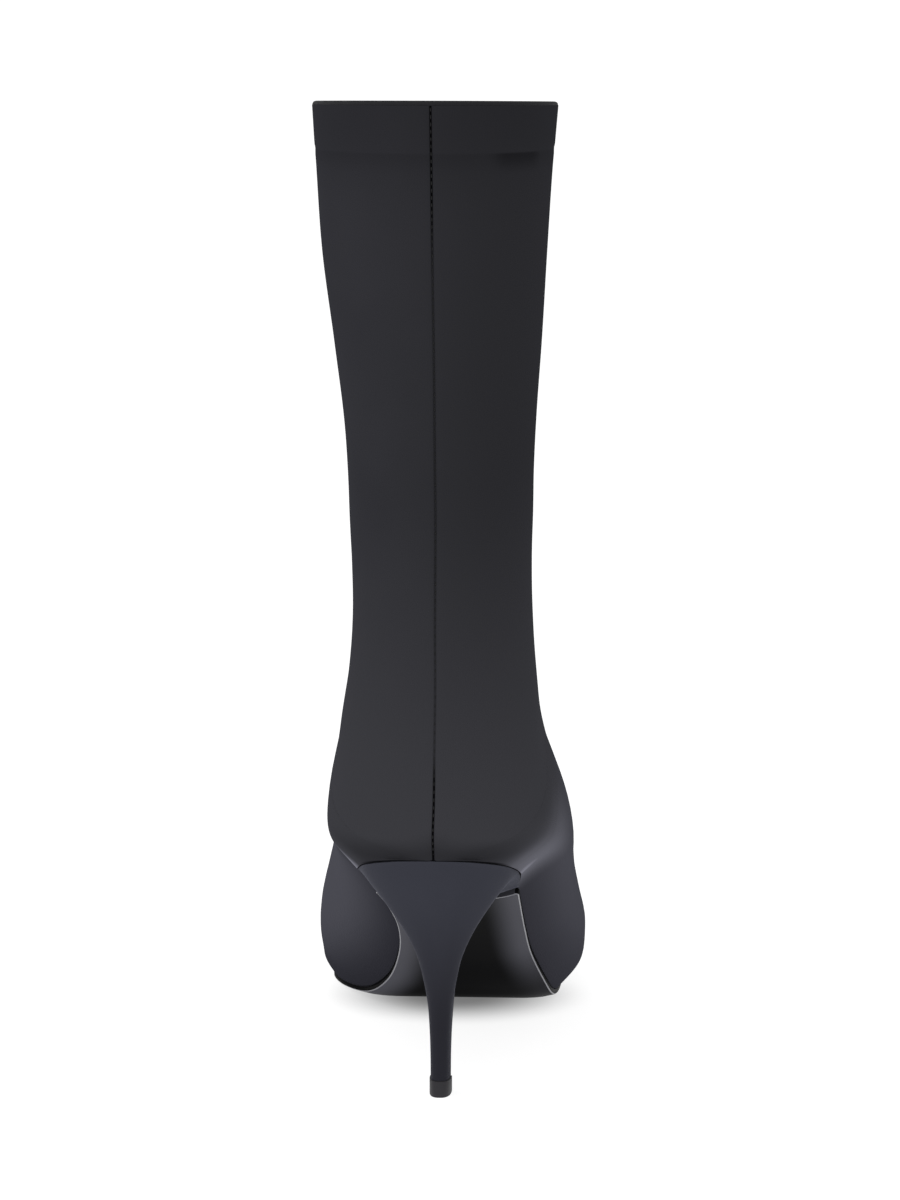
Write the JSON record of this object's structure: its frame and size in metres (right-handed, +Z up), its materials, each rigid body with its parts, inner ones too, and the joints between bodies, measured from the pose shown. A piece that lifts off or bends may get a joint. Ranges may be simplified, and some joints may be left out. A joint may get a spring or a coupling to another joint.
{
  "type": "stiletto sock boot",
  "caption": "Pull-on stretch sock boot on a slim stiletto heel, with a hollow shaft and foot, a curved back seam, a thin outsole and a separate heel tip. Right shoe, standing empty.",
  "frame": {"origin": "on the floor, under the middle of the heel tip", "axes": "+Z up, from the heel tip to the collar; +Y level, from the heel to the toe; +X to the outer side of the right foot"},
  "size_m": [0.0936, 0.2574, 0.322],
  "materials": {
    "upper_knit": "matt charcoal stretch jersey with a soft sheen",
    "insole_lining": "dark lining cloth over the insole board",
    "outsole": "smooth black sole with a satin gloss",
    "heel_cover": "the upper's cloth drawn tight over the heel block",
    "heel_tip": "dark grey polyurethane"
  },
  "bodies": {
    "root": {"upper": "upper_knit", "insole": "insole_lining", "outsole": "outsole", "heel": "heel_cover", "heel_tip": "heel_tip"}
  },
  "joints": []
}
